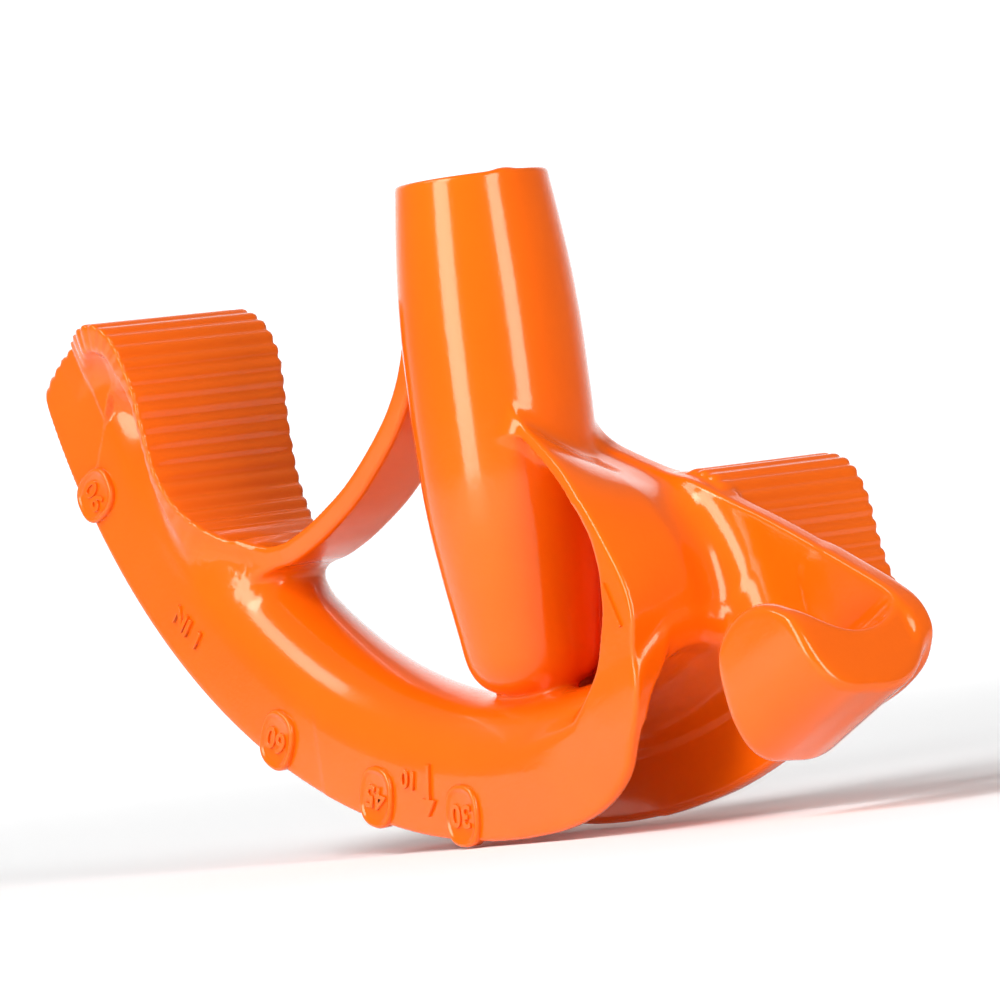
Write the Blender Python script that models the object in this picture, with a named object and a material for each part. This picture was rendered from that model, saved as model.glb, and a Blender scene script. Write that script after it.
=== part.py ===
"""Bender head for one inch thin-wall conduit: one iron casting with a grooved
bending shoe, a blind handle socket, a rear foot pedal, a front strap with a
foot step on its far side, and a hook that holds the conduit.

The casting is drawn as sections that meet at hairline kerfs.  Metres, Z up
along the handle, X toward the hook, Y across.  The origin is the centre of
the socket mouth.
"""

import bpy
import bmesh
import math
from mathutils import Vector

# Bending arc, about an axis along Y.
ARC_X = 0.003
ARC_Z = 0.0145
RIM_R = 0.183
SHOE_DEPTH = 0.0358
GROOVE_R = 0.0153
SHOE_W = 0.0385
TAIL_DEG = -74.4
SPLIT_DEG = 12.5
MARK_DEG = 25.0
SHOULDER = 0.013
ARC_STEPS = 44

# Handle socket, a blind boss about Z.
MOUTH_R = 0.019
BODY_R = 0.0222
FOOT_R = 0.0185
BORE_R = 0.0155
BORE_DEPTH = 0.062
BODY_TOP = 0.048
BODY_LOW = 0.098
SOCKET_SIDES = 48

# Rear foot pedal and strap.
PEDAL_W = 0.050
PEDAL_END_DEG = -44.0
RIB_PITCH = 0.0042
RIB_H = 0.0009
STRAP_W = 0.020
STRAP_T = 0.005

# Front strap, hook arm, hook and far foot step.
FRONT_T = 0.008
ARM_T = 0.006
STEP_FAR_Y = 0.063
STEP_T = 0.007
HOOK_CLEAR = 0.0165
HOOK_BACK = 0.020
HOOK_FRONT = 0.047

# Raised marks on the near wall of the shoe.
PAD_DEGS = (-62.8, -30.8, -16.8, -5.3)
PAD_LONG = 0.0080
PAD_WIDE = 0.0062
PAD_H = 0.0009

KERF = 0.0003
SPREAD = RIM_R / 0.183
HALF_W = SHOE_W / 2.0
BACK_R = RIM_R - SHOE_DEPTH
PIPE_R = RIM_R - 0.0165
CEILING_R = PIPE_R - GROOVE_R


def clear_scene():
    """Empty the scene of objects."""
    for obj in list(bpy.data.objects):
        bpy.data.objects.remove(obj, do_unlink=True)


def enamel():
    """Gloss orange enamel on cast iron."""
    mat = bpy.data.materials.new("orange_enamel_cast_iron")
    mat.use_nodes = True
    bsdf = mat.node_tree.nodes["Principled BSDF"]
    bsdf.inputs["Base Color"].default_value = (0.90, 0.12, 0.008, 1.0)
    bsdf.inputs["Roughness"].default_value = 0.28
    bsdf.inputs["Metallic"].default_value = 0.0
    return mat


def polar(radius, deg):
    """Point (x, z) at a radius and angle of the bending arc, 0 straight down."""
    a = math.radians(deg)
    return (ARC_X + radius * math.sin(a), ARC_Z - radius * math.cos(a))


def finish(name, mesh, mat):
    """Object from a closed mesh, normals outward."""
    bm = bmesh.new()
    bm.from_mesh(mesh)
    bmesh.ops.remove_doubles(bm, verts=bm.verts, dist=0.00001)
    bmesh.ops.recalc_face_normals(bm, faces=bm.faces)
    bm.to_mesh(mesh)
    bm.free()
    mesh.materials.clear()
    mesh.materials.append(mat)
    obj = bpy.data.objects.new(name, mesh)
    bpy.context.scene.collection.objects.link(obj)
    return obj


def loft(name, rings, mat, closed=False):
    """Skin equal rings of points; the ends are capped unless the loft closes."""
    verts = [p for ring in rings for p in ring]
    n = len(rings[0])
    spans = len(rings) if closed else len(rings) - 1
    faces = []
    for i in range(spans):
        a = i * n
        b = ((i + 1) % len(rings)) * n
        for j in range(n):
            k = (j + 1) % n
            faces.append((a + j, a + k, b + k, b + j))
    if not closed:
        faces.append(tuple(range(n)))
        faces.append(tuple(range((len(rings) - 1) * n, len(rings) * n)))
    mesh = bpy.data.meshes.new(name)
    mesh.from_pydata(verts, [], faces)
    return finish(name, mesh, mat)


def prism(name, outline, y0, y1, mat):
    """Outline of (x, z) points carried straight across from y0 to y1."""
    rings = [[(x, y, z) for x, z in outline] for y in (y0, y1)]
    return loft(name, rings, mat)


def combine(obj, tool, how):
    """Exact Boolean of obj with a tool, which is then removed."""
    mod = obj.modifiers.new(how.lower(), 'BOOLEAN')
    mod.operation = how
    mod.solver = 'EXACT'
    mod.object = tool
    tool.hide_render = True
    tool.display_type = 'WIRE'
    bpy.context.view_layer.update()
    graph = bpy.context.evaluated_depsgraph_get()
    mesh = bpy.data.meshes.new_from_object(obj.evaluated_get(graph))
    name = obj.name
    mat = obj.data.materials[0]
    bpy.data.objects.remove(obj, do_unlink=True)
    bpy.data.objects.remove(tool, do_unlink=True)
    return finish(name, mesh, mat)


def smooth_line(points, steps):
    """Catmull-Rom curve through (x, z) points."""
    out = []
    last = len(points) - 1
    for i in range(last):
        p0 = Vector(points[max(i - 1, 0)])
        p1 = Vector(points[i])
        p2 = Vector(points[i + 1])
        p3 = Vector(points[min(i + 2, last)])
        for s in range(steps):
            t = s / steps
            a = p1 * 2.0 + (p2 - p0) * t
            b = (p0 * 2.0 - p1 * 5.0 + p2 * 4.0 - p3) * t * t
            c = (p1 * 3.0 - p0 - p2 * 3.0 + p3) * t * t * t
            v = (a + b + c) * 0.5
            out.append((v.x, v.y))
    out.append(tuple(points[last]))
    return out


def offset_line(line, dist):
    """Line moved sideways by dist, to its right as it runs."""
    out = []
    for i, p in enumerate(line):
        a = Vector(line[max(i - 1, 0)])
        b = Vector(line[min(i + 1, len(line) - 1)])
        d = (b - a).normalized()
        out.append((p[0] + d.y * dist, p[1] - d.x * dist))
    return out


def shift(points):
    """Profile points about the arc centre, spread with the bend radius."""
    return [(ARC_X + x * SPREAD, ARC_Z + z * SPREAD) for x, z in points]


def channel_section():
    """Shoe section as (radius, y): rounded back, groove open at the rim."""
    pts = [(RIM_R, -HALF_W)]
    for k in range(6):
        a = math.radians(18.0 * k)
        r = BACK_R + SHOULDER * (1.0 - math.sin(a))
        pts.append((r, -HALF_W + SHOULDER * (1.0 - math.cos(a))))
    mirrored = [(r, -y) for r, y in pts[::-1]]
    pts += mirrored
    pts.append((RIM_R, GROOVE_R))
    for k in range(13):
        a = math.radians(15.0 * k)
        pts.append((PIPE_R - GROOVE_R * math.sin(a), GROOVE_R * math.cos(a)))
    pts.append((RIM_R, -GROOVE_R))
    return pts


def end_section(near_r):
    """Groove section with no far wall and a near wall that stops at near_r."""
    drop = min(max((PIPE_R - near_r) / GROOVE_R, 0.0), 1.0)
    stop = math.pi - math.asin(drop)
    start = math.radians(12.0)
    pts = [(near_r, -HALF_W), (BACK_R, -HALF_W), (BACK_R, GROOVE_R - KERF),
           (PIPE_R - GROOVE_R * math.sin(start), GROOVE_R * math.cos(start) - KERF)]
    for k in range(1, 12):
        a = start + (stop - start) * k / 11
        pts.append((PIPE_R - GROOVE_R * math.sin(a), GROOVE_R * math.cos(a)))
    pts.append((max(near_r, PIPE_R - 0.0001), pts[-1][1]))
    return pts


def swept(name, stations, mat):
    """Sections of (radius, y) set round the bending arc at their angles."""
    rings = []
    for deg, section in stations:
        ring = []
        for r, y in section:
            x, z = polar(r, deg)
            ring.append((x, y, z))
        rings.append(ring)
    return loft(name, rings, mat)


def degree_pad(deg, mat):
    """Oval pad that stands off the near wall and just past the rim."""
    cx, cz = polar(RIM_R - PAD_LONG + 0.0010, deg)
    a = math.radians(deg)
    outline = []
    for k in range(20):
        t = 2.0 * math.pi * k / 20
        u = PAD_LONG * math.cos(t)
        v = PAD_WIDE * math.sin(t)
        outline.append((cx + u * math.sin(a) + v * math.cos(a),
                        cz - u * math.cos(a) + v * math.sin(a)))
    return prism("pad", outline, -HALF_W - PAD_H, -HALF_W + 0.0025, mat)


def bending_shoe(mat):
    """Grooved arc that the conduit is bent round."""
    section = channel_section()
    stations = []
    for i in range(ARC_STEPS + 1):
        stations.append((TAIL_DEG + (SPLIT_DEG - TAIL_DEG) * i / ARC_STEPS, section))
    shoe = swept("bending_shoe", stations, mat)
    for deg in PAD_DEGS:
        shoe = combine(shoe, degree_pad(deg, mat), 'UNION')
    return shoe


def groove_end(mat):
    """Front of the groove, whose near wall slopes away from the rim."""
    gap = math.degrees(KERF / BACK_R)
    edge = [(SPLIT_DEG + gap, 0.0003), (14.5, 0.0025), (16.7, 0.0087), (19.0, 0.0155),
            (21.0, 0.0222), (22.6, 0.0285), (24.0, 0.0330), (MARK_DEG, 0.0345)]
    stations = [(deg, end_section(RIM_R - drop)) for deg, drop in edge]
    return swept("groove_end", stations, mat)


def handle_socket(mat):
    """Blind socket for the pipe handle, tapered both ways, closed below."""
    low = ARC_Z - BACK_R + 0.0006
    wall = [(BORE_R, -BORE_DEPTH), (BORE_R, -0.0012), (BORE_R + 0.0012, 0.0),
            (MOUTH_R - 0.0006, 0.0), (MOUTH_R, -0.0006), (BODY_R, -BODY_TOP),
            (BODY_R, -BODY_LOW), (FOOT_R + 0.0012, low + 0.020),
            (FOOT_R - 0.0010, low + 0.012), (FOOT_R - 0.0055, low + 0.006),
            (0.0085, low + 0.0028), (0.0075, low)]
    rings = []
    for r, z in wall:
        ring = []
        for k in range(SOCKET_SIDES):
            t = 2.0 * math.pi * k / SOCKET_SIDES
            ring.append((r * math.cos(t), r * math.sin(t), z))
        rings.append(ring)
    return loft("handle_socket", rings, mat)


def pedal_line():
    """Foot surface of the pedal from its tip to where the strap leaves."""
    pts = [polar(BACK_R - 0.0005, TAIL_DEG - 0.4), polar(BACK_R - 0.0057, TAIL_DEG + 1.7),
           polar(BACK_R - 0.0104, TAIL_DEG + 5.7), polar(BACK_R - 0.0090, -65.0),
           polar(BACK_R - 0.0062, -61.0), polar(BACK_R - 0.0041, -57.0),
           polar(BACK_R - 0.0038, -51.5), polar(BACK_R - 0.0103, PEDAL_END_DEG)]
    return smooth_line(pts, 10)


def ribbed(line, pitch, height):
    """Line with shallow ribs standing to its left at an even pitch."""
    out = []
    run = 0.0
    crest = offset_line(line, -height)
    for i, p in enumerate(line):
        if i:
            run += (Vector(p) - Vector(line[i - 1])).length
        wave = 0.5 - 0.5 * math.cos(2.0 * math.pi * run / pitch)
        q = Vector(p).lerp(Vector(crest[i]), wave)
        out.append((q.x, q.y))
    return out


def foot_pedal(mat):
    """Wide ribbed plate for the foot, over the tail of the shoe."""
    back = []
    for k in range(13):
        deg = PEDAL_END_DEG + (TAIL_DEG - PEDAL_END_DEG) * k / 12
        back.append(polar(BACK_R - KERF, deg))
    outline = ribbed(pedal_line(), RIB_PITCH, RIB_H) + back
    return prism("foot_pedal", outline, -PEDAL_W / 2.0, PEDAL_W / 2.0, mat)


def rear_strap(mat):
    """Narrow band from the cradle up to the socket's rear side."""
    root = polar(BACK_R - 0.0106, PEDAL_END_DEG + 0.15)
    top = [root] + shift([(-0.0850, -0.0988), (-0.0730, -0.0948), (-0.0600, -0.0880),
                          (-0.0480, -0.0795), (-0.0375, -0.0700), (-0.0310, -0.0610),
                          (-0.0270, -0.0500)])
    line = smooth_line(top, 6)
    line[-1] = (-BODY_R - KERF, line[-1][1])
    under = [p for p in offset_line(line, STRAP_T) if p[0] > ARC_X - 0.090 * SPREAD]
    under = [p for p in under if p[0] < -BODY_R - 0.001]
    end = (-BODY_R - KERF, line[-1][1] - 0.014)
    foot = [polar(BACK_R - KERF, -39.5), polar(BACK_R - KERF, PEDAL_END_DEG + 0.15)]
    outline = line + [end] + under[::-1] + foot
    return prism("rear_strap", outline, -STRAP_W / 2.0, STRAP_W / 2.0, mat)


def front_strap(mat):
    """Curved plate from the socket's front side down to the groove mark."""
    pts = [(BODY_R + KERF, ARC_Z - 0.0815 * SPREAD)]
    pts += shift([(0.0300, -0.0890), (0.0400, -0.0965), (0.0475, -0.1040),
                  (0.0537, -0.1140), (0.0590, -0.1245)])
    pts.append(polar(BACK_R - KERF, MARK_DEG))
    line = smooth_line(pts, 4)
    inner = offset_line(line, FRONT_T)
    inner[0] = (BODY_R + KERF, line[0][1] - FRONT_T * 1.6)
    inner[-1] = polar(BACK_R - KERF, MARK_DEG - math.degrees(FRONT_T / BACK_R))
    rings = []
    for i, p in enumerate(line):
        near = -HALF_W + 0.0065 * max(0.0, 1.0 - i / 10.0)
        far = GROOVE_R - KERF
        q = inner[i]
        rings.append([(p[0], near, p[1]), (p[0], far, p[1]),
                      (q[0], far, q[1]), (q[0], near, q[1])])
    return loft("front_strap", rings, mat)


def hook_arm(mat):
    """Plate on the far side: web beside the socket, far groove wall and arm."""
    gap = math.degrees(KERF / BACK_R)
    top = shift([(0.0145, -0.0850), (0.0280, -0.0915), (0.0450, -0.0980),
                 (0.0600, -0.1050), (0.0880, -0.1165), (0.1110, -0.1260),
                 (0.1190, -0.1315), (0.1245, -0.1390), (0.1225, -0.1470),
                 (0.1150, -0.1535), (0.1000, -0.1610)])
    rim = [polar(RIM_R, 27.0 - (27.0 - SPLIT_DEG - gap) * k / 8) for k in range(9)]
    turn = SPLIT_DEG + gap - 5.5
    back = [polar(BACK_R - KERF, SPLIT_DEG + gap - turn * k / 4) for k in range(5)]
    outline = smooth_line(top, 3) + rim + back
    return prism("hook_arm", outline, GROOVE_R, GROOVE_R + ARM_T, mat)


def hook(mat):
    """Tongue under the conduit; its near tip turns up beside the conduit."""
    a = math.radians(MARK_DEG)
    px, pz = polar(PIPE_R, MARK_DEG)
    in_y = GROOVE_R - KERF
    section = [(in_y, -HOOK_CLEAR), (0.006, -HOOK_CLEAR)]
    for k in range(1, 6):
        t = math.radians(270.0 - 17.0 * k)
        section.append((HOOK_CLEAR * math.cos(t), HOOK_CLEAR * math.sin(t)))
    c = HOOK_CLEAR
    section += [(-c - 0.0010, -0.0010), (-c - 0.0060, -0.0005), (-c - 0.0090, -0.0060),
                (-c - 0.0085, -c), (-c - 0.0040, -c - 0.0095), (0.0045 - c, -c - 0.0145),
                (in_y, -c - 0.0125)]
    rings = []
    for k in range(5):
        ring = []
        for y, w in section:
            lean = (in_y - y) / 0.040
            lo = HOOK_BACK + 0.002 * lean
            hi = HOOK_FRONT - 0.0085 * lean
            s = lo + (hi - lo) * k / 4.0
            ring.append((px + math.cos(a) * s - math.sin(a) * w, y,
                         pz + math.sin(a) * s + math.cos(a) * w))
        rings.append(ring)
    return loft("hook", rings, mat)


def foot_step(mat):
    """Ribbed wing on the far side of the arm, along the front strap's profile."""
    pts = shift([(0.0425, -0.0995), (0.0460, -0.0980), (0.0515, -0.1000), (0.0572, -0.1085),
                 (0.0622, -0.1195), (0.0668, -0.1310), (0.0690, -0.1400)])
    line = smooth_line(pts, 10)
    inner = offset_line(line[6:], STEP_T)
    outline = ribbed(line, RIB_PITCH * 0.85, RIB_H) + inner[::-1]
    lo = GROOVE_R + ARM_T + KERF
    return prism("foot_step", outline, lo, STEP_FAR_Y, mat)


def build():
    """Every section of the casting."""
    clear_scene()
    mat = enamel()
    bending_shoe(mat)
    groove_end(mat)
    handle_socket(mat)
    foot_pedal(mat)
    rear_strap(mat)
    front_strap(mat)
    hook_arm(mat)
    hook(mat)
    foot_step(mat)


build()
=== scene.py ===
"""Bender head for one inch thin-wall conduit: an orange enamelled iron casting.

Lengths are millimetres from the bend's centre until a mesh is made, with X
toward the hook, Y across and Z up along the handle.  The frame's origin is the
centre of the socket mouth, which is where every mesh is placed.
"""

import math
import bpy
import bmesh
import numpy as np
from mathutils import Matrix, Vector


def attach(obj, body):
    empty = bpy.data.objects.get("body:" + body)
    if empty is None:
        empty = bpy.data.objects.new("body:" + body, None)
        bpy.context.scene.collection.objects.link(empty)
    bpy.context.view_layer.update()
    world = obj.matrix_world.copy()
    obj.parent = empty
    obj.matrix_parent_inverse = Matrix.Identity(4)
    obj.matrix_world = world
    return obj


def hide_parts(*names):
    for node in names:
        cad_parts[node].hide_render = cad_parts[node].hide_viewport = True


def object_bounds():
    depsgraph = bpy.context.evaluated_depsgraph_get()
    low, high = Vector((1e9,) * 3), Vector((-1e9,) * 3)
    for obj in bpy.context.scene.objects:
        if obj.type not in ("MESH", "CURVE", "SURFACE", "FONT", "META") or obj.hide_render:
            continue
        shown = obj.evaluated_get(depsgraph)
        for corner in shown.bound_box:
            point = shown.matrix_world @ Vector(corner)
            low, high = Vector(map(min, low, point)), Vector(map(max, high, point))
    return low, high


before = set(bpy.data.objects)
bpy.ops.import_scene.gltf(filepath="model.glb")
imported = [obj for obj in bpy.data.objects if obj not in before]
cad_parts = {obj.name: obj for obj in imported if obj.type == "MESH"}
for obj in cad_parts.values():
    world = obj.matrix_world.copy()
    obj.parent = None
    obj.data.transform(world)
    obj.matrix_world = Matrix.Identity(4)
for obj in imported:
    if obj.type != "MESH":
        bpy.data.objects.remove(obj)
cad_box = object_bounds()


# ---------------------------------------------------------------------------
# The block of space that the casting is worked out in.  The whole head is one
# ductile iron casting, so its walls run into each other with cast fillets.
# It is drawn as a field: the distance to the skin, negative inside the iron.
# ---------------------------------------------------------------------------
STEP = 0.7
RIM_R = 183.0
HALF_W = 19.25
CENTRE = np.array([3.0, 0.0, 14.5])
LOW = np.array([-181.0, -30.0, -190.0])
HIGH = np.array([132.0, 68.0, -8.0])
SHAPE = np.ceil((HIGH - LOW) / STEP).astype(int) + 1

gx, gy, gz = (LOW[a] + STEP * np.arange(SHAPE[a]) for a in range(3))
X = gx[:, None, None].astype(np.float32)
Y = gy[None, :, None].astype(np.float32)
Z = gz[None, None, :].astype(np.float32)
R = np.hypot(X, Z)
PHI = np.arctan2(X, -Z)


def join(a, b, k):
    """Smaller of two distances, blended over k so the meeting is a fillet."""
    h = np.clip(0.5 + 0.5 * (b - a) / k, 0.0, 1.0)
    return b + (a - b) * h - k * h * (1.0 - h)


def trim(a, b, k):
    """Larger of two distances, blended over k so the edge is rounded."""
    return -join(-a, -b, k)


def slab(y_lo, y_hi):
    """Distance to the space between two planes across Y."""
    return np.maximum(y_lo - Y, Y - y_hi)


def curve(points, steps=6):
    """Catmull-Rom curve through points: each span blends its four nearest."""
    p = np.asarray(points, float)
    q = np.vstack([2 * p[0] - p[1], p, 2 * p[-1] - p[-2]])
    t = np.linspace(0.0, 1.0, steps, endpoint=False)[:, None]
    spans = [0.5 * (2 * q[i + 1] + (q[i + 2] - q[i]) * t
                    + (2 * q[i] - 5 * q[i + 1] + 4 * q[i + 2] - q[i + 3]) * t * t
                    + (3 * q[i + 1] - q[i] - 3 * q[i + 2] + q[i + 3]) * t ** 3)
             for i in range(len(p) - 1)]
    return np.vstack(spans + [p[-1:]])


def along(line):
    """For each (x, z): signed distance to a line, positive to its left as it
    runs, and how far along it the nearest point lies."""
    x = X[:, 0, :]
    z = Z[:, 0, :]
    best = np.full(np.broadcast(x, z).shape, 1e9, np.float32)
    side = np.zeros_like(best)
    run = np.zeros_like(best)
    start = 0.0
    last = len(line) - 2
    for i, (a, b) in enumerate(zip(line[:-1], line[1:])):
        d = b - a
        span = math.hypot(*d)
        u = ((x - a[0]) * d[0] + (z - a[1]) * d[1]) / span
        v = ((z - a[1]) * d[0] - (x - a[0]) * d[1]) / span
        over = u - np.clip(u, 0.0 if i else -1e6, span if i < last else 1e6)
        dist = np.hypot(v, over)
        near = dist < best
        best = np.where(near, dist, best)
        side = np.where(near, np.where(v < 0, -dist, dist), side)
        run = np.where(near, start + u, run)
        start += span
    return side[:, None, :], run[:, None, :], start


def inside(outline):
    """Signed distance to a closed (x, z) outline, negative inside it."""
    x = X[:, 0, :]
    z = Z[:, 0, :]
    best = np.full(np.broadcast(x, z).shape, 1e9, np.float32)
    odd = np.zeros(best.shape, bool)
    for a, b in zip(outline, np.roll(outline, -1, axis=0)):
        d = b - a
        t = np.clip(((x - a[0]) * d[0] + (z - a[1]) * d[1]) / (d @ d), 0.0, 1.0)
        best = np.minimum(best, np.hypot(x - a[0] - t * d[0], z - a[1] - t * d[1]))
        if d[1] != 0.0:
            cut = ((a[1] > z) != (b[1] > z)) & (x < a[0] + (z - a[1]) * d[0] / d[1])
            odd ^= cut
    return np.where(odd, -best, best)[:, None, :]


def polar(r, deg):
    """Point (x, z) at a radius and angle of the bend, 0 straight down."""
    a = math.radians(deg)
    return (r * math.sin(a), -r * math.cos(a))


# ---------------------------------------------------------------------------
# Shoe: a half-pipe of iron bent to the conduit's bend radius.  Its round back
# faces the handle.  The near wall stops at the front edge, and the far wall
# runs on to the hook.
# ---------------------------------------------------------------------------
PIPE_R = 166.5
FRONT_EDGE = curve([(4.0, -66.0), (20.0, -79.0), (35.0, -90.0), (44.8, -98.8), (49.6, -105.2),
                    (53.6, -112.0), (57.4, -118.8), (59.8, -125.0), (60.2, -131.5),
                    (59.0, -138.0), (57.4, -145.0), (55.6, -153.0), (53.3, -161.5),
                    (50.4, -167.8), (45.8, -172.4), (39.5, -176.3), (30.0, -180.0),
                    (14.0, -185.5)])
FAR_EDGE = curve([(-6.0, -75.0), (13.0, -86.0), (25.0, -91.5), (36.0, -96.5), (46.0, -103.0),
                  (53.0, -113.0), (59.0, -126.0), (62.5, -137.0), (67.0, -146.0), (72.5, -156.0),
                  (77.0, -168.0), (82.0, -190.0)])


def ease(v):
    """Smooth step from 0 to 1 as v goes from 0 to 1."""
    v = np.clip(v, 0.0, 1.0)
    return v * v * (3.0 - 2.0 * v)


from_axis = np.where(R < PIPE_R, np.hypot(PIPE_R - R, Y), np.abs(Y))
near_front, _, _ = along(FRONT_EDGE)
far_front, _, _ = along(FAR_EDGE)
ahead = near_front + (far_front - near_front) * ease((Y + 15.0) / 24.0)
shoe = trim(from_axis - HALF_W, R - RIM_R, 1.8)
iron = trim(shoe, ahead, 2.0)
del shoe, near_front, far_front

# ---------------------------------------------------------------------------
# Front strap: a crowned plate from the socket down to the groove's front end,
# with a deep flange on its near edge that is flush with the shoe's side.
# ---------------------------------------------------------------------------
fade = ease((Z + 144.0) / 30.0) * ease((-80.0 - Z) / 36.0)
crown = 4.2 * fade * np.clip(1.0 - np.sqrt((Y / 19.0) ** 2 + 0.004), 0.0, 1.0)
near_y = -HALF_W + 7.0 * np.clip((Z + 100.0) / 22.0, 0.0, 1.2)
depth = np.interp(gz, [-157.0, -150.0, -146.0, -141.0, -130.0,
                       -124.0, -117.0, -110.0, -99.0, -80.0],
                  [22.0, 18.0, 15.8, 13.6, 12.2, 9.8, 6.2, 4.0, 3.0, 3.0]).astype(np.float32)
window = np.ones(7, np.float32) / 7.0
depth = np.convolve(np.pad(depth, 3, mode="edge"), window, mode="valid")[None, None, :]
deep = 5.0 + (depth - 5.0) * ease((near_y + 7.5 - Y) / 4.0)
plate = trim(ahead - crown, -ahead - deep, 1.2)
plate = trim(plate, np.maximum(near_y - Y, Y - 18.0), 0.9)
plate = trim(trim(plate, -157.0 - Z, 9.0), Z + 68.0, 2.0)
heel = np.interp(gz, [-148.0, -120.0], [8.0, 3.0]).astype(np.float32)[None, None, :]
iron = join(iron, plate, heel)
side = near_y + (-HALF_W - near_y) * ease((12.0 - X) / 12.0)
iron = trim(iron, side - Y, 1.2)
del plate, crown, deep, side

# ---------------------------------------------------------------------------
# Hook arm: the far wall runs on as a plate from the socket to the hook, with
# a plain sloping top edge, and closes the far side of the front recess.
# ---------------------------------------------------------------------------
ARM = np.vstack([curve([(-4.0, -74.0), (6.0, -80.5), (13.3, -84.5), (18.0, -87.2), (23.5, -89.6),
                        (31.6, -92.9), (47.6, -99.0), (63.1, -105.1), (74.0, -109.8),
                        (86.4, -115.7), (101.3, -123.2), (112.5, -129.0), (119.6, -133.7),
                        (124.1, -138.4), (125.3, -143.6), (121.5, -150.5), (113.0, -156.0),
                        (101.0, -160.5)], 4),
                 [polar(RIM_R, 30.0 - 1.0 * k) for k in range(25)],
                 [polar(163.0, 4.0 - 4.0 * k) for k in range(3)]])
ARM_Y = 21.4
arm = trim(inside(ARM), slab(15.3, ARM_Y), 1.3)
iron = join(iron, arm, 3.0 + 13.0 * ease((X - 34.0) / 22.0))
iron = trim(iron, Y - ARM_Y, 2.0)
iron = trim(iron, R - RIM_R - 40.0 * ease((PHI - 0.50) / 0.05), 1.8)
del arm

# ---------------------------------------------------------------------------
# Foot pedal and rear strap: a wide thin tread wraps the tail of the shoe and is
# hollowed for a boot and ribbed across.  It narrows to a cast band that sweeps
# up to the side of the socket and leaves a window above the shoe.
# ---------------------------------------------------------------------------
RIB = 4.4
RIB_H = 0.8
FOOT = curve([(-177.6, -50.6), (-173.3, -47.6), (-165.1, -43.2), (-157.0, -39.2),
              (-149.5, -36.3), (-142.0, -35.2), (-136.0, -36.9), (-130.9, -41.0),
              (-127.5, -47.5), (-125.5, -55.0), (-124.6, -63.0), (-123.8, -71.0),
              (-122.3, -79.0), (-118.8, -86.3), (-113.4, -92.3), (-106.7, -97.0),
              (-99.0, -100.2), (-90.2, -100.2), (-82.0, -98.0), (-73.0, -94.4),
              (-60.0, -87.8), (-48.0, -79.3), (-37.5, -69.8), (-30.5, -59.8),
              (-25.5, -47.0), (-23.0, -34.0)], 6)
over, run, total = along(FOOT)
ribs = RIB_H * (np.abs(np.sin(np.pi * run / RIB)) - 0.6) * ease((114.0 - run) / 8.0)
half = np.interp(run, [0, 14, 24, 34, 74, 89, 98, 106, 115, 124, 133],
                 [10.0, 14.0, 21.0, 25.3, 25.3, 24.2, 22.2, 19.4, 15.0, 11.6, 10.4])
thick = np.interp(run, [0, 20, 44, 62, 100, 130], [6.0, 6.4, 6.0, 3.6, 3.8, 6.0])
band = trim(over, -over - thick, 1.2)
# The tread's edge leans in below its top, as the mould needs to draw.
draft = np.interp(run, [0.0, 60.0, 90.0, 112.0, 130.0], [0.1, 0.2, 0.45, 0.45, 0.1])
band = trim(band, np.abs(Y) - half - 0.5 * ribs - draft * over, 1.4)
band = trim(trim(band, -run - 1.0, 1.2), run - total, 2.0)
# Solid iron under the tread's tip, flush with the shoe's side.
web = HALF_W - 12.0 * ease((run - 55.0) / 30.0)
web = trim(trim(over + 0.8, np.abs(Y) - web, 8.0), R - RIM_R, 1.8)
web = trim(trim(web, 138.0 - R, 4.0), X + 104.0, 8.0)
iron = join(iron, web, 4.0)
iron = trim(iron, np.maximum(np.abs(Y) - HALF_W, R - RIM_R) - 40.0 * ease((X + 75.0) / 20.0), 1.4)
root = np.interp(run, [20.0, 60.0, 112.0, 126.0, 142.0], [9.0, 15.0, 15.0, 11.0, 6.0])
iron = join(iron, band, root)
flank = np.maximum(HALF_W, half + 0.5 * ribs) + 30.0 * ease((run - 34.0) / 26.0)
iron = trim(iron, np.abs(Y) - flank, 1.4)
cut = over - ribs - 60.0 * ease((run - 116.0) / 40.0)
iron = np.where(run > 150.0, iron, trim(iron, cut, np.interp(run, [2.0, 14.0], [4.5, 0.7])))
del band, cut, draft, flank, web

# Groove for the conduit: round in its roof and straight sided below, open
# downward and at both ends, with its roof eased where it leaves the front.
PITCH = math.radians(25.0)
px, pz = polar(PIPE_R, 25.0)
out = (X - px) * math.cos(PITCH) + (Z - pz) * math.sin(PITCH)
up = -(X - px) * math.sin(PITCH) + (Z - pz) * math.cos(PITCH)
GROOVE_R = 14.9
groove = from_axis - GROOVE_R - 0.9 * ease((R - PIPE_R + 1.5) / 2.4)
flare = 1.4 + 6.0 * ease((12.0 - np.abs(Y)) / 5.0) * ease((out + 26.0) / 16.0)
iron = trim(iron, -np.maximum(groove, out - 20.0), flare)
del groove, from_axis, flare

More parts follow.
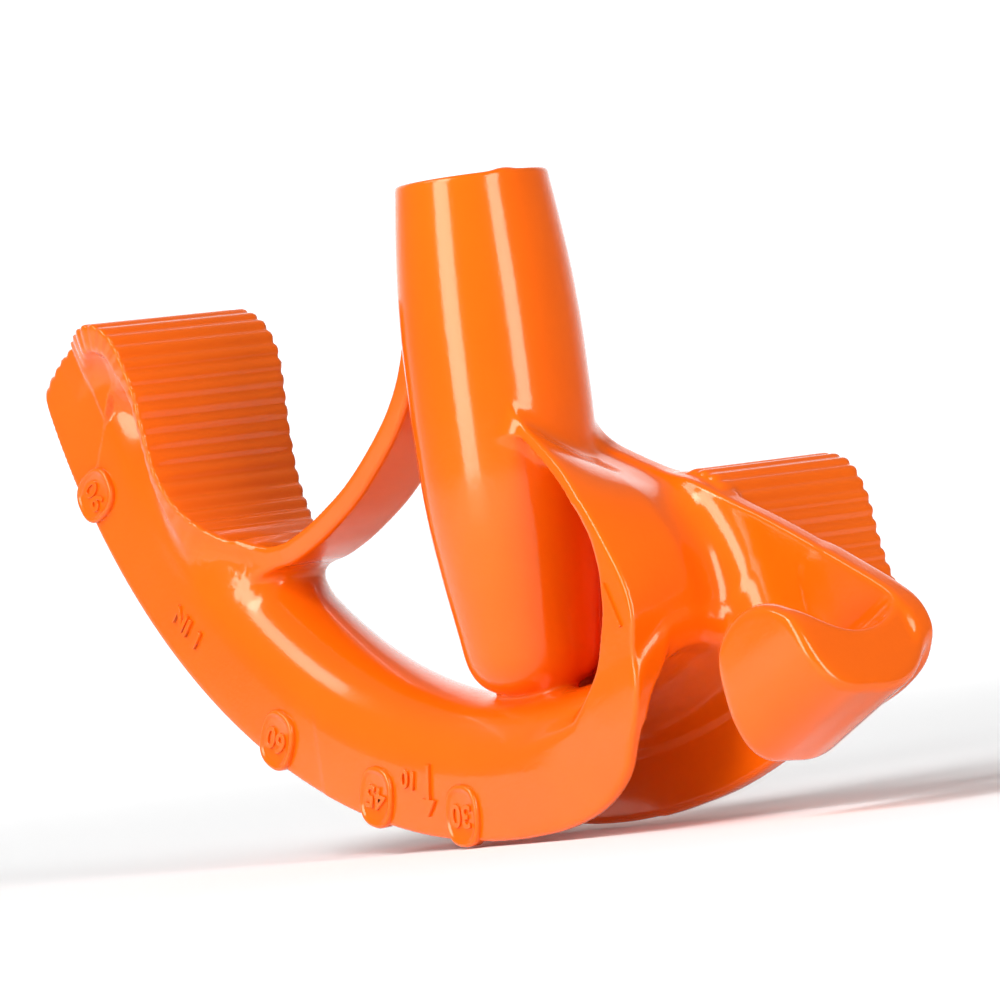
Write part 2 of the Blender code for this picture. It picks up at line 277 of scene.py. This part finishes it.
# ---------------------------------------------------------------------------
# Hook: a short scoop, the shoe's own section turned upward, that passes under
# the conduit from the foot of the arm.  Thick below and rounded all over.
# ---------------------------------------------------------------------------
SCOOP_W = 20.8
SCOOP_DEEP = 24.9
SCOOP_END = 53.4
drop = up + 4.0
bend = 2.05 + 1.25 * ease((-Y - 2.0) / 10.0)
outer = ((np.abs(Y) / SCOOP_W) ** bend + (np.abs(drop) / SCOOP_DEEP) ** bend) ** (1.0 / bend)
outer = np.where(drop < 0.0, (outer - 1.0) * 21.5, np.abs(Y) - SCOOP_W)
floor_up = up - 4.2 - 0.03 * (out - 16.0)
inner = np.where(floor_up < 0.0, np.hypot(Y, floor_up), np.abs(Y)) - 17.5
inner = np.maximum(inner, np.abs(Y) - 15.6)
lip = up - 3.8 + 7.0 * ((out - 35.5) / 16.0) ** 2 * np.clip(-Y / 14.0, 0.0, 1.0)
lip = lip - 0.5 * np.clip(Y + 12.0, 0.0, 40.0)
slope_top = (X - 88.0) * 0.462 + (Z + 116.4) * 0.887
scoop = trim(outer, lip, 3.0)
scoop = trim(scoop, slope_top + 0.5, 3.0)
scoop = trim(scoop, (17.2 - out + 0.28 * (drop + 8.0)) / 1.04, 5.5)
scoop = trim(scoop, out - SCOOP_END, 3.0)
scoop = trim(scoop, -inner, 2.0)
iron = join(iron, scoop, 3.0)
del scoop, outer, inner, lip, slope_top, floor_up, drop, bend

# ---------------------------------------------------------------------------
# Foot step: a second ribbed tread that stands out from the far side of the
# front strap, on the same slope, for a boot to push from the front.
# ---------------------------------------------------------------------------
STEP_LINE = curve([(36.5, -104.0), (39.5, -99.2), (45.5, -96.2), (51.2, -96.8), (55.8, -99.4),
                   (59.0, -104.4), (61.0, -110.0), (61.9, -115.7), (63.0, -120.5), (64.6, -126.0),
                   (67.0, -132.0), (69.0, -138.5), (69.6, -144.0)])
STEP_RIB = 3.9
STEP_Y = 63.8
over, run, total = along(STEP_LINE)
ribs = RIB_H * (np.abs(np.sin(np.pi * run / STEP_RIB)) - 0.6)
step = trim(over - ribs, -over - 6.0, 0.9)
step = trim(step, np.maximum(18.0 - Y, Y - STEP_Y - 0.5 * ribs), 1.6)
step = trim(trim(step, -run, 1.5), run - total, 1.5)
iron = join(iron, step, 2.0)
del step

# ---------------------------------------------------------------------------
# Handle socket: a stout boss that swells below its mouth, closed and rounded
# at the foot, where it stands on the back of the shoe.
# ---------------------------------------------------------------------------
AXIS_X = -3.0
MOUTH_Z = -14.5
FOOT_Z = -146.5
BORE_R = 15.5
BORE_Z = -76.5
from_handle = np.hypot(X - AXIS_X, Y)
swell = np.interp(gz, [-150.0, -138.0, -128.0, -118.0, -104.0, -92.0, -74.0, -54.5, -48.5,
                       -41.0, -33.5, -25.7, -18.1, MOUTH_Z, 0.0],
                  [16.4, 17.4, 18.8, 20.4, 22.2, 22.9, 23.3, 23.2, 22.9,
                   22.5, 21.8, 20.95, 20.0, 19.5, 18.5])
window = np.ones(13) / 13.0
swell = np.convolve(np.pad(swell, 6, mode="edge"), window, mode="valid")
boss = from_handle - swell.astype(np.float32)[None, None, :]
boss = trim(boss, FOOT_Z - Z, 12.0)
iron = join(iron, boss, 4.0)

# Bore of the socket, blind, cut last so that no fillet fills it.
bore = trim(from_handle - BORE_R, BORE_Z - Z, 3.0)
iron = trim(iron, -bore, 1.0)
iron = trim(iron, Z - MOUTH_Z, 1.2)
# A nub of flash left on the lip of the mouth.
flash = np.sqrt(((X - AXIS_X - 17.0) / 1.6) ** 2 + ((Y + 3.0) / 3.2) ** 2
                + ((Z - MOUTH_Z + 0.2) / 0.9) ** 2) - 1.0
iron = join(iron, flash * 0.9, 0.8)
del flash
iron = iron.astype(np.float32)
del bore, boss, from_handle, R, PHI


def read_field(field, p):
    """Field at points p, in grid steps, blended from the eight corners."""
    i = np.clip(np.floor(p).astype(int), 0, np.array(field.shape) - 2)
    f = (p - i).astype(np.float32)
    x, y, z = i.T
    u, v, w = f.T
    low = ((field[x, y, z] * (1 - u) + field[x + 1, y, z] * u) * (1 - v)
           + (field[x, y + 1, z] * (1 - u) + field[x + 1, y + 1, z] * u) * v)
    top = ((field[x, y, z + 1] * (1 - u) + field[x + 1, y, z + 1] * u) * (1 - v)
           + (field[x, y + 1, z + 1] * (1 - u) + field[x + 1, y + 1, z + 1] * u) * v)
    return low * (1 - w) + top * w


def slope(field, p, reach=0.8):
    """Direction in which the field rises at points p: central differences."""
    axes = np.eye(3) * reach
    g = np.stack([read_field(field, p + a) - read_field(field, p - a) for a in axes], 1)
    return g / (2.0 * reach)


def skin(field):
    """Quads round the zero of a field: one point in each grid cell that the
    skin crosses, at the mean of its edge crossings, and one quad across each
    grid edge whose ends lie on opposite sides."""
    full = field < 0.0
    corner = [(a, b, c) for a in (0, 1) for b in (0, 1) for c in (0, 1)]
    n = np.array(field.shape) - 1
    count = sum(full[a:a + n[0], b:b + n[1], c:c + n[2]].astype(np.int8) for a, b, c in corner)
    cell = np.argwhere((count > 0) & (count < 8))
    number = np.full(n, -1, np.int32)
    number[tuple(cell.T)] = np.arange(len(cell))
    place = np.zeros((len(cell), 3))
    hits = np.zeros(len(cell))
    for axis in range(3):
        for c in corner:
            if c[axis]:
                continue
            a = cell + c
            b = a.copy()
            b[:, axis] += 1
            fa = field[tuple(a.T)]
            fb = field[tuple(b.T)]
            cross = (fa < 0) != (fb < 0)
            t = np.where(cross, fa / np.where(cross, fa - fb, 1.0), 0.0)
            spot = a.astype(float)
            spot[:, axis] += t
            place += np.where(cross[:, None], spot, 0.0)
            hits += cross
    place /= hits[:, None]
    quads = []
    for axis in range(3):
        lo = [slice(1, -1)] * 3
        hi = [slice(1, -1)] * 3
        lo[axis] = slice(0, -1)
        hi[axis] = slice(1, None)
        rise = full[tuple(hi)].astype(np.int8) - full[tuple(lo)]
        for sign in (-1, 1):
            e = np.argwhere(rise == sign)
            offset = np.ones(3, int)
            offset[axis] = 0
            e = e + offset
            u, v = (axis + 1) % 3, (axis + 2) % 3
            ring = []
            for du, dv in ((0, 0), (-1, 0), (-1, -1), (0, -1)):
                c = e.copy()
                c[:, u] += du
                c[:, v] += dv
                ring.append(number[tuple(c.T)])
            q = np.stack(ring, 1)
            quads.append(q if sign < 0 else q[:, ::-1])
    return place, np.vstack(quads)


def settle(field, p):
    """Points moved along the slope on to the zero of the field."""
    for _ in range(2):
        g = slope(field, p)
        size = np.maximum((g * g).sum(1), 0.2)
        p = p - np.clip(read_field(field, p) / size, -0.6, 0.6)[:, None] * g
    return p


def lay_mesh(name, points, faces):
    """Mesh object from arrays of points in metres and of equal faces."""
    mesh = bpy.data.meshes.new(name)
    mesh.vertices.add(len(points))
    mesh.vertices.foreach_set("co", points.astype(np.float32).ravel())
    side = faces.shape[1]
    mesh.loops.add(faces.size)
    mesh.loops.foreach_set("vertex_index", faces.astype(np.int32).ravel())
    mesh.polygons.add(len(faces))
    mesh.polygons.foreach_set("loop_start", np.arange(0, faces.size, side, dtype=np.int32))
    mesh.update()
    mesh.validate()
    obj = bpy.data.objects.new(name, mesh)
    bpy.context.scene.collection.objects.link(obj)
    return obj


def to_metres(p):
    """Grid steps to metres in the frame."""
    return (LOW + p * STEP + CENTRE) / 1000.0


def to_steps(p):
    """Metres in the frame to grid steps."""
    return (p * 1000.0 - CENTRE - LOW) / STEP


place, quads = skin(iron)
place = settle(iron, place)
casting = lay_mesh("casting", to_metres(place), quads)
thin = casting.modifiers.new("thin", 'DECIMATE')
thin.ratio = min(1.0, 190000 / (2.0 * len(quads)))
bpy.context.view_layer.update()
mesh = bpy.data.meshes.new_from_object(casting.evaluated_get(bpy.context.evaluated_depsgraph_get()))
casting.modifiers.clear()
casting.data = mesh
co = np.empty(len(mesh.vertices) * 3, np.float32)
mesh.vertices.foreach_get("co", co)
p = settle(iron, to_steps(co.reshape(-1, 3).astype(float)))
mesh.vertices.foreach_set("co", to_metres(p).astype(np.float32).ravel())
normal = slope(iron, p)
normal /= np.linalg.norm(normal, axis=1)[:, None]
mesh.polygons.foreach_set("use_smooth", np.ones(len(mesh.polygons), bool))
mesh.update()
mesh.normals_split_custom_set_from_vertices(normal.astype(np.float32))
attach(casting, "root")
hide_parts(*[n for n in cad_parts])


def linear(hex_value):
    """sRGB hex to linear RGBA: the standard curve, part by part."""
    c = np.array([(hex_value >> s) & 255 for s in (16, 8, 0)]) / 255.0
    c = np.where(c <= 0.04045, c / 12.92, ((c + 0.055) / 1.055) ** 2.4)
    return (*c, 1.0)


def node(mat, kind, links=(), **settings):
    """Add a node, set its values by name, and link (output, input name)."""
    n = mat.node_tree.nodes.new(kind)
    for key, value in settings.items():
        if hasattr(n, key):
            setattr(n, key, value)
        else:
            n.inputs[key.replace("_", " ")].default_value = value
    for source, target in links:
        mat.node_tree.links.new(source, n.inputs[target])
    return n


# Baked gloss enamel over a sand-cast skin: an even strong orange that pools
# with a faint orange-peel, so highlights are bright with ragged edges.
enamel = bpy.data.materials.new("baked_gloss_enamel_on_cast_iron")
enamel.use_nodes = True
enamel.node_tree.nodes.clear()
where = node(enamel, "ShaderNodeTexCoord")
peel = node(enamel, "ShaderNodeTexNoise", [(where.outputs["Object"], "Vector")],
            Scale=800.0, Detail=2.0, Roughness=0.55)
wave = node(enamel, "ShaderNodeTexNoise", [(where.outputs["Object"], "Vector")],
            Scale=60.0, Detail=3.0, Roughness=0.55)
tone = node(enamel, "ShaderNodeTexNoise", [(where.outputs["Object"], "Vector")],
            Scale=22.0, Detail=4.0, Roughness=0.6)
hue = node(enamel, "ShaderNodeMix", [(tone.outputs["Fac"], "Factor")], data_type='RGBA')
for end in hue.inputs:
    if end.type == 'RGBA':
        end.default_value = linear(0xE85C04) if end.name == "A" else linear(0xF16708)
hue_out = [s for s in hue.outputs if s.type == 'RGBA'][0]
low_bump = node(enamel, "ShaderNodeBump", [(wave.outputs["Fac"], "Height")],
                Strength=0.8, Distance=0.00012)
fine_bump = node(enamel, "ShaderNodeBump", [(peel.outputs["Fac"], "Height"),
                                            (low_bump.outputs["Normal"], "Normal")],
                 Strength=0.9, Distance=0.00004)
paint = node(enamel, "ShaderNodeBsdfPrincipled", [(hue_out, "Base Color"),
                                                  (fine_bump.outputs["Normal"], "Normal")],
             Roughness=0.16, IOR=1.5, Coat_Weight=0.35,
             Coat_Roughness=0.07, Specular_Tint=linear(0xFFDCB4))
node(enamel, "ShaderNodeOutputMaterial", [(paint.outputs["BSDF"], "Surface")])
casting.data.materials.clear()
casting.data.materials.append(enamel)

# ---------------------------------------------------------------------------
# Degree marks: raised oval pads cast on the near wall, just proud of the rim,
# each with its bend angle in raised figures that read from the handle side.
# ---------------------------------------------------------------------------
def on_wall(p, r, deg, turn_deg=0.0, y=-HALF_W):
    """Points drawn flat (x right, y up, z out) set on the near wall, metres.
    Up points away from the bend's centre, then turns by turn_deg."""
    a = math.radians(deg)
    t = math.radians(turn_deg)
    up_way = np.array([math.sin(a), 0.0, -math.cos(a)])
    right_way = np.array([-math.cos(a), 0.0, -math.sin(a)])
    up_way, right_way = (up_way * math.cos(t) - right_way * math.sin(t),
                         right_way * math.cos(t) + up_way * math.sin(t))
    x, z = polar(r, deg)
    spot = np.array([x, y, z])
    q = spot + p[:, :1] * right_way + p[:, 1:2] * up_way - p[:, 2:] * np.array([0.0, 1.0, 0.0])
    return (q + CENTRE) / 1000.0


def dress(piece):
    """Give a finished piece its enamel and its place in the record."""
    piece.data.materials.clear()
    piece.data.materials.append(enamel)
    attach(piece, "root")


def oval_pad(name, half_wide, half_tall, rise, r, deg):
    """Oval disc with a rounded raised border: rings of one superellipse, each
    at a share of full size and its own height, closed by a point each side."""
    share = np.array([0.97, 1.0, 1.0, 0.985, 0.95, 0.90, 0.84, 0.80, 0.70])
    level = np.array([-3.0, -2.6, 0.3, 0.7, 1.0, 1.15, 1.0, 0.68, 0.5]) * rise
    level[:2] = [-3.0, -2.6]
    rings, around = len(share), 72
    t = np.linspace(0.0, 2.0 * math.pi, around, endpoint=False)
    c, d = np.cos(t), np.sin(t)
    ring = np.stack([np.sign(c) * np.abs(c) ** 0.8 * half_wide,
                     np.sign(d) * np.abs(d) ** 0.8 * half_tall], 1)
    p = np.concatenate([ring[None] * share[:, None, None],
                        np.broadcast_to(level[:, None, None], (rings, around, 1))], 2)
    p = p.reshape(-1, 3)
    p = np.vstack([p, [[0.0, 0.0, -3.0], [0.0, 0.0, 0.5 * rise]]])
    i = np.arange(around)
    j = (i + 1) % around
    k = (np.arange(rings - 1) * around)[:, None]
    quads = np.stack([k + i, k + j, k + around + j, k + around + i], 2).reshape(-1, 4)
    top, tip = (rings - 1) * around, rings * around
    tri = np.vstack([np.stack([j, i, np.full(around, tip)], 1),
                     np.stack([top + i, top + j, np.full(around, tip + 1)], 1)])
    faces = np.vstack([tri, quads[:, [0, 1, 2]], quads[:, [0, 2, 3]]])
    pad = lay_mesh(name, on_wall(p, r, deg), faces)
    pad.data.polygons.foreach_set("use_smooth", np.ones(len(faces), bool))
    dress(pad)
    return pad


def figures(name, text, size, r, deg, proud, turn_deg=0.0, y=-HALF_W):
    """Raised figures from the plain built-in face, made a mesh, then placed."""
    words = bpy.data.curves.new(name, 'FONT')
    words.body = text
    words.size = size
    words.align_x = 'CENTER'
    words.align_y = 'CENTER'
    words.extrude = 0.45
    words.bevel_depth = 0.16
    words.bevel_resolution = 2
    words.offset = 0.05
    words.resolution_u = 6
    loose = bpy.data.objects.new(name, words)
    bpy.context.scene.collection.objects.link(loose)
    bpy.context.view_layer.update()
    flat_mesh = bpy.data.meshes.new_from_object(
        loose.evaluated_get(bpy.context.evaluated_depsgraph_get()))
    bpy.data.objects.remove(loose)
    bm = bmesh.new()
    bm.from_mesh(flat_mesh)
    bmesh.ops.remove_doubles(bm, verts=bm.verts, dist=0.002)
    bmesh.ops.triangulate(bm, faces=bm.faces)
    bmesh.ops.recalc_face_normals(bm, faces=bm.faces)
    bm.to_mesh(flat_mesh)
    bm.free()
    c = np.empty(len(flat_mesh.vertices) * 3)
    flat_mesh.vertices.foreach_get("co", c)
    c = c.reshape(-1, 3) + [0.0, 0.0, proud - 0.6]
    flat_mesh.vertices.foreach_set("co", on_wall(c, r, deg, turn_deg, y).astype(np.float32).ravel())
    flat_mesh.update()
    piece = bpy.data.objects.new(name, flat_mesh)
    bpy.context.scene.collection.objects.link(piece)
    dress(piece)
    return piece


for angle, where_deg in ((90, -62.8), (60, -30.8), (45, -16.8), (30, -5.3)):
    oval_pad("pad_%d" % angle, 6.6, 8.0, 0.9, 175.9, where_deg)
    figures("figures_%d" % angle, "%d" % angle, 8.2, 175.6, where_deg, 1.1)

# Bend-point arrow and ten degree mark between the last two pads, the size on
# the tail, and a sight line on the front strap's flange: all low relief.
figures("figures_10", "10", 6.6, 168.5, -12.6, 0.5)
figures("size_mark", "1 IN", 7.4, 171.0, -46.0, 0.5)


def raised_shape(name, outline, r, deg, proud, turn_deg=0.0, y=-HALF_W):
    """Flat outline made a low solid with a sloped edge: the foot ring at full
    size below the wall, the top ring drawn in a little."""
    o = np.asarray(outline, float)
    mid = o.mean(0)
    n = len(o)
    grow = np.array([1.06, 1.06, 1.0])
    h = np.array([-0.8, proud * 0.55, proud])
    p = np.concatenate([mid + (o - mid) * g if g != 1.0 else o for g in grow])
    p = np.hstack([p, np.repeat(h, n)[:, None]])
    mesh = bpy.data.meshes.new(name)
    i = np.arange(n)
    j = (i + 1) % n
    sides_q = [[int(a) for a in q] for k in (0, n) for q in zip(k + i, k + j, k + n + j, k + n + i)]
    mesh.from_pydata(on_wall(p, r, deg, turn_deg, y).tolist(), [],
                     sides_q + [list(range(2 * n, 3 * n)), list(range(n - 1, -1, -1))])
    bm = bmesh.new()
    bm.from_mesh(mesh)
    bmesh.ops.recalc_face_normals(bm, faces=bm.faces)
    bmesh.ops.triangulate(bm, faces=bm.faces)
    bm.to_mesh(mesh)
    bm.free()
    piece = bpy.data.objects.new(name, mesh)
    bpy.context.scene.collection.objects.link(piece)
    dress(piece)
    return piece


arrow = [(-0.6, -6.5), (0.6, -6.5), (0.6, 2.2), (2.6, 2.2), (0.0, 6.4), (-2.6, 2.2), (-0.6, 2.2)]
raised_shape("bend_arrow", arrow, 170.5, -9.8, 0.6)
bar = [(-0.5, -5.6), (0.5, -5.6), (0.5, 5.6), (-0.5, 5.6)]
raised_shape("sight_line", bar, 137.5, 22.9, 0.45)

# ---------------------------------------------------------------------------
# Floor: one sheet of white paper that runs back under the casting and sweeps
# up behind it, so there is no line where the floor ends.
# ---------------------------------------------------------------------------
AZ = math.radians(51.27)
away = np.array([-math.sin(AZ), math.cos(AZ)])
across = np.array([math.cos(AZ), math.sin(AZ)])
floor_z = cad_box[0][2] - 0.0005
FLAT_END = 2.6
SWEEP_R = 0.9
run_out = np.linspace(-2.5, FLAT_END, 18)
quarter = np.linspace(0.0, math.pi / 2.0, 25)[1:]
reach = np.concatenate([run_out, FLAT_END + SWEEP_R * np.sin(quarter), [FLAT_END + SWEEP_R]])
rise_by = np.concatenate([0.0 * run_out, SWEEP_R * (1.0 - np.cos(quarter)), [3.0]])
sides = np.linspace(-6.0, 6.0, 25)
flat = away[None, None, :] * reach[:, None, None] + across[None, None, :] * sides[None, :, None]
tall = np.broadcast_to((floor_z + rise_by)[:, None, None], flat.shape[:2] + (1,))
sheet = np.concatenate([flat, tall], 2).reshape(-1, 3)
cols = len(sides)
first = (np.arange(len(reach) - 1)[:, None] * cols + np.arange(cols - 1)[None, :]).ravel()
floor = lay_mesh("floor", sheet, np.stack([first, first + 1, first + cols + 1, first + cols], 1))
floor.data.polygons.foreach_set("use_smooth", np.ones(len(floor.data.polygons), bool))
paper = bpy.data.materials.new("matt_white_paper")
paper.use_nodes = True
paper.node_tree.nodes["Principled BSDF"].inputs["Base Color"].default_value = linear(0xF6F6F6)
paper.node_tree.nodes["Principled BSDF"].inputs["Roughness"].default_value = 0.95
paper.node_tree.nodes["Principled BSDF"].inputs["Specular IOR Level"].default_value = 0.0
floor.data.materials.append(paper)

# ---------------------------------------------------------------------------
# Light: a dim room and two tall soft boxes, one well to the left of the camera
# and one to its right, that draw the long streaks on the enamel.  A low wide
# one above draws the streak along the shoe's shoulder, and a last one lights
# the paper only.
# ---------------------------------------------------------------------------
world = bpy.data.worlds.new("studio")
bpy.context.scene.world = world
world.use_nodes = True
world.node_tree.nodes["Background"].inputs["Color"].default_value = (1.0, 1.0, 1.0, 1.0)
world.node_tree.nodes["Background"].inputs["Strength"].default_value = 0.2
bpy.context.scene.view_settings.view_transform = 'Standard'


def soft_box(name, turn_deg, climb_deg, distance, width, height, glow):
    """Rectangular lamp at a bearing and climb from the casting, facing it."""
    a, c = math.radians(turn_deg), math.radians(climb_deg)
    mid = Vector((-0.02, 0.0, -0.08))
    ray = Vector((math.sin(a) * math.cos(c), -math.cos(a) * math.cos(c), math.sin(c)))
    lamp = bpy.data.lights.new(name, 'AREA')
    lamp.shape = 'RECTANGLE'
    lamp.size = width
    lamp.size_y = height
    lamp.energy = glow * math.pi * width * height
    obj = bpy.data.objects.new(name, lamp)
    bpy.context.scene.collection.objects.link(obj)
    obj.location = mid + ray * distance
    obj.rotation_euler = ray.to_track_quat('Z', 'Y').to_euler()
    return obj


soft_box("left_box", 3.5, 22.0, 1.8, 0.70, 2.4, 8.2)
soft_box("right_box", 81.7, 12.0, 1.8, 0.54, 1.8, 8.2)
soft_box("top_box", -18.0, 52.0, 1.8, 1.1, 0.45, 5.5)
wash = soft_box("paper_wash", 0.0, 0.0, 1.0, 5.0, 1.2, 3.9)
wash.location = (1.5 * away[0], 1.5 * away[1], 1.8)
wash_ray = Vector((-1.5 * away[0], -1.5 * away[1], 1.2))
wash.rotation_euler = wash_ray.to_track_quat('Z', 'Y').to_euler()

# ---------------------------------------------------------------------------
# Camera: level with the casting and about two metres off, rolled a little.
# ---------------------------------------------------------------------------
EL = math.radians(-0.45)
ROLL = math.radians(-7.6)
back = Vector((math.sin(AZ) * math.cos(EL), -math.cos(AZ) * math.cos(EL), math.sin(EL)))
right = Vector((math.cos(AZ), math.sin(AZ), 0.0))
rise = back.cross(right)
right, rise = (right * math.cos(ROLL) + rise * math.sin(ROLL),
               rise * math.cos(ROLL) - right * math.sin(ROLL))
base = Vector((0.003, -0.01926, 0.0145))
aim = base + right * 0.02241 - rise * 0.09486
camera = bpy.data.objects.new("camera", bpy.data.cameras.new("camera"))
bpy.context.scene.collection.objects.link(camera)
AWAY_BY = 1.83
camera.data.sensor_width = 36.0
camera.data.lens = 261.1
camera.data.clip_end = 50.0
turn = Matrix((right, rise, back)).transposed().to_4x4()
camera.matrix_world = Matrix.Translation(aim + back * AWAY_BY) @ turn
bpy.context.scene.camera = camera
